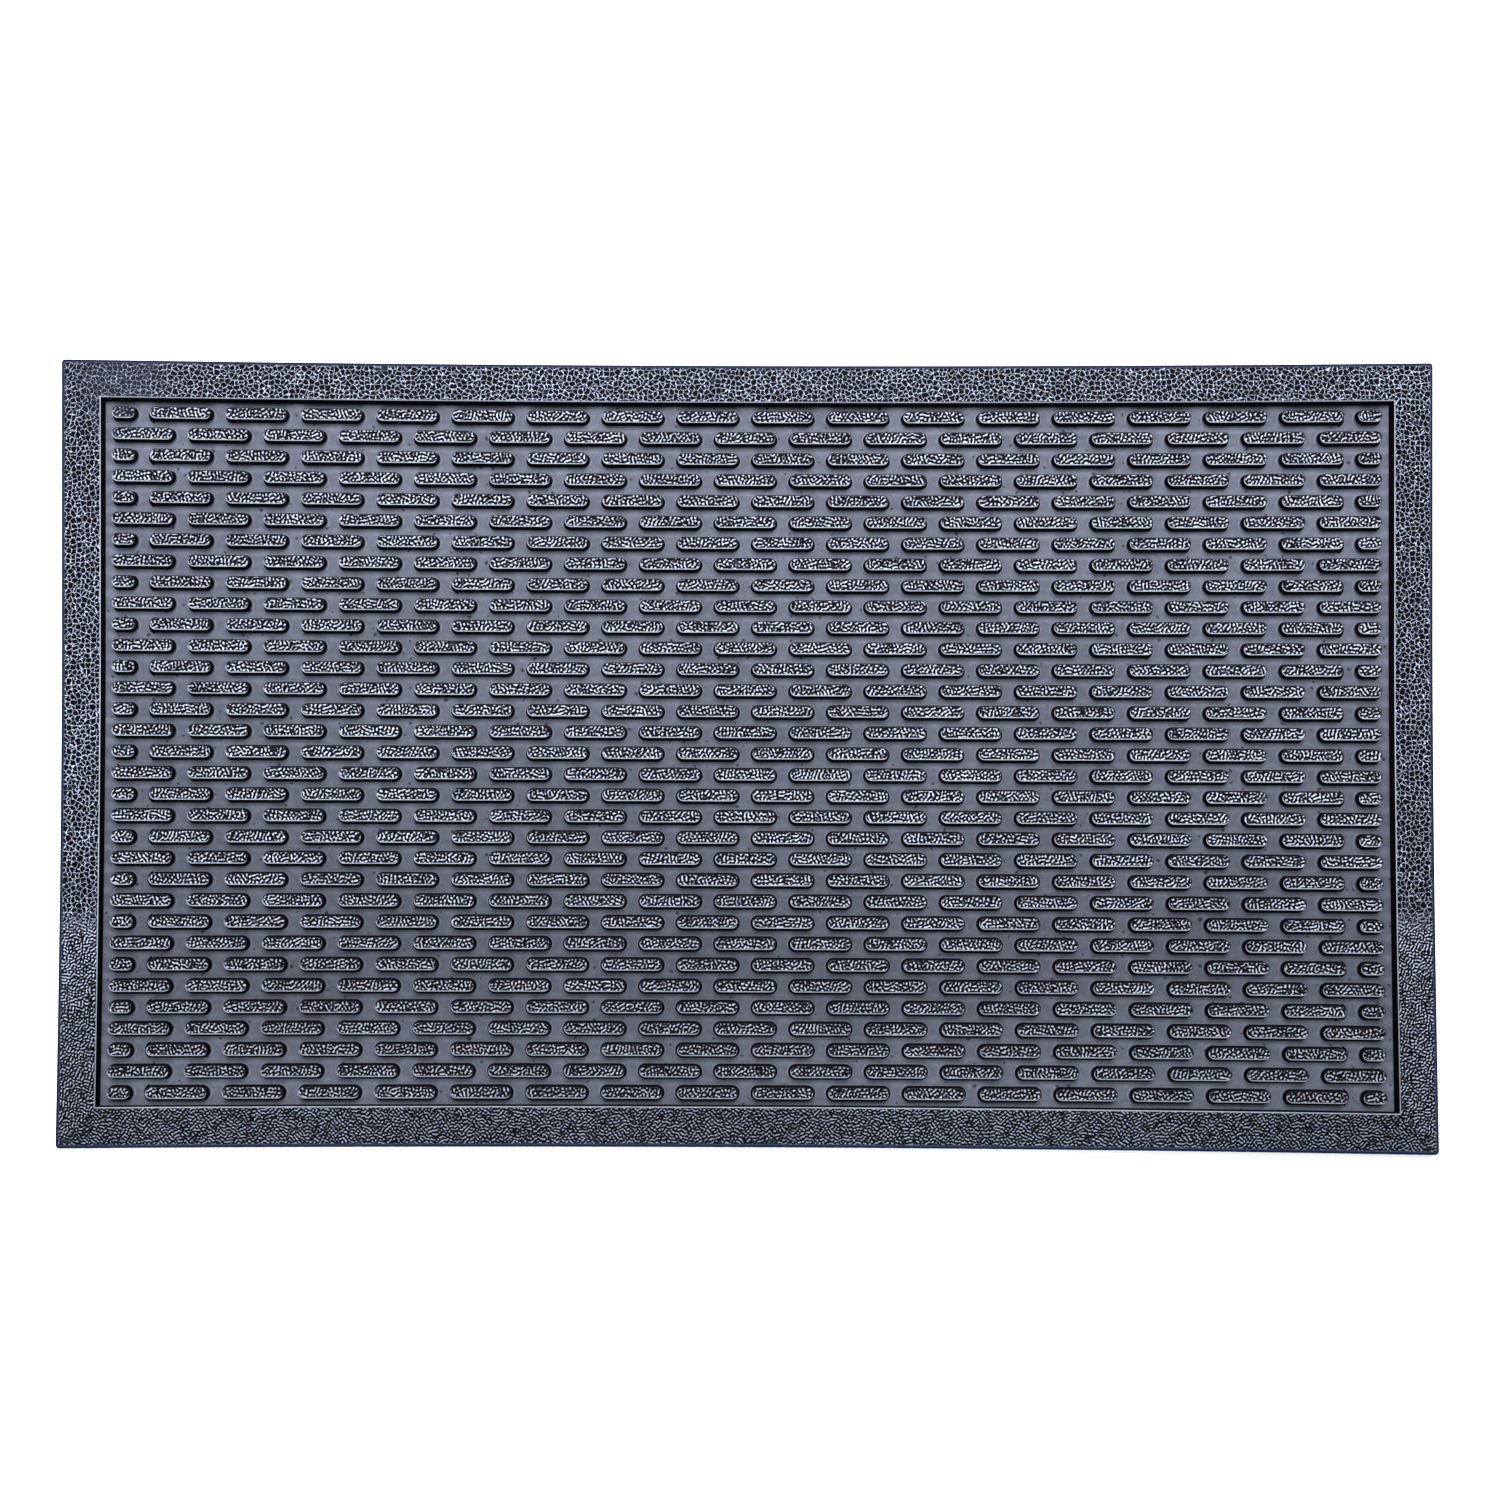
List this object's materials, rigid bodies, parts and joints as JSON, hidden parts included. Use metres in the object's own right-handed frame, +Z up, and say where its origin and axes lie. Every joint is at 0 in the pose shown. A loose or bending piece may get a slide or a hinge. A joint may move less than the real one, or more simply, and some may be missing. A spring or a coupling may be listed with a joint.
{
  "type": "rubber scraper door mat",
  "caption": "Rectangular moulded rubber scraper mat: a flat backing, a pebbled border that ramps up to a recessed field, and raised round-ended bars in a brick pattern.",
  "frame": {"origin": "centre of the mat's underside, on the ground", "axes": "+X along the mat's length, +Y across it towards its back edge, +Z up out of the tread"},
  "size_m": [0.7, 0.4, 0.0074],
  "materials": {
    "base_rubber": "smooth satin blue-black moulded rubber",
    "border_rubber": "pebbled satin blue-black moulded rubber",
    "scraper_rubber": "satin blue-black moulded rubber, smooth floor and pebbled bar tops"
  },
  "bodies": {
    "root": {"base_sheet": "base_rubber", "border_front": "border_rubber", "border_back": "border_rubber", "border_left": "border_rubber", "border_right": "border_rubber", "scraper_row_01": "scraper_rubber", "scraper_row_02": "scraper_rubber", "scraper_row_03": "scraper_rubber", "scraper_row_04": "scraper_rubber", "scraper_row_05": "scraper_rubber", "scraper_row_06": "scraper_rubber", "scraper_row_07": "scraper_rubber", "scraper_row_08": "scraper_rubber", "scraper_row_09": "scraper_rubber", "scraper_row_10": "scraper_rubber", "scraper_row_11": "scraper_rubber", "scraper_row_12": "scraper_rubber", "scraper_row_13": "scraper_rubber", "scraper_row_14": "scraper_rubber", "scraper_row_15": "scraper_rubber", "scraper_row_16": "scraper_rubber", "scraper_row_17": "scraper_rubber", "scraper_row_18": "scraper_rubber", "scraper_row_19": "scraper_rubber", "scraper_row_20": "scraper_rubber", "scraper_row_21": "scraper_rubber", "scraper_row_22": "scraper_rubber", "scraper_row_23": "scraper_rubber", "scraper_row_24": "scraper_rubber", "scraper_row_25": "scraper_rubber", "scraper_row_26": "scraper_rubber", "scraper_row_27": "scraper_rubber", "scraper_row_28": "scraper_rubber", "scraper_row_29": "scraper_rubber", "scraper_row_30": "scraper_rubber", "scraper_row_31": "scraper_rubber", "scraper_row_32": "scraper_rubber", "scraper_row_33": "scraper_rubber"}
  },
  "joints": []
}
